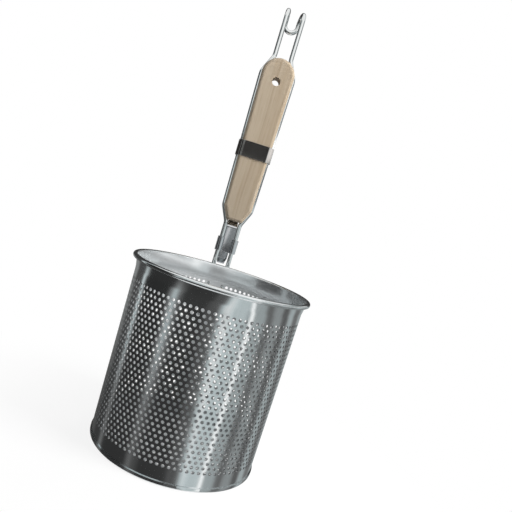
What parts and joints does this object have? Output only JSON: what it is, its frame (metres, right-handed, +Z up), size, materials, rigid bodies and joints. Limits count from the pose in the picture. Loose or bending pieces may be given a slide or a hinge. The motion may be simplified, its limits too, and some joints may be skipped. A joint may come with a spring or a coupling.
{
  "type": "deep fryer basket",
  "caption": "Cylindrical perforated steel strainer basket with rolled rim, upright wire handle with wood grip, hanging hook and pot hook.",
  "frame": {"origin": "centre of the round base, on the plane that it rests on", "axes": "+Z up the basket's axis and along the handle, +Y towards the handle, +X to the right when the handle is at the back"},
  "size_m": [0.1492, 0.168, 0.3935],
  "materials": {
    "sheet_steel": "polished stainless sheet",
    "wire_steel": "polished stainless wire",
    "strap_steel": "polished stainless strip",
    "grip_wood": "smooth pale hardwood, fine straight grain"
  },
  "bodies": {
    "root": {"basket_wall": "sheet_steel", "base_disc": "sheet_steel", "handle_wire": "wire_steel", "wood_grip": "grip_wood", "grip_band": "strap_steel", "pot_hook": "strap_steel"}
  },
  "joints": []
}
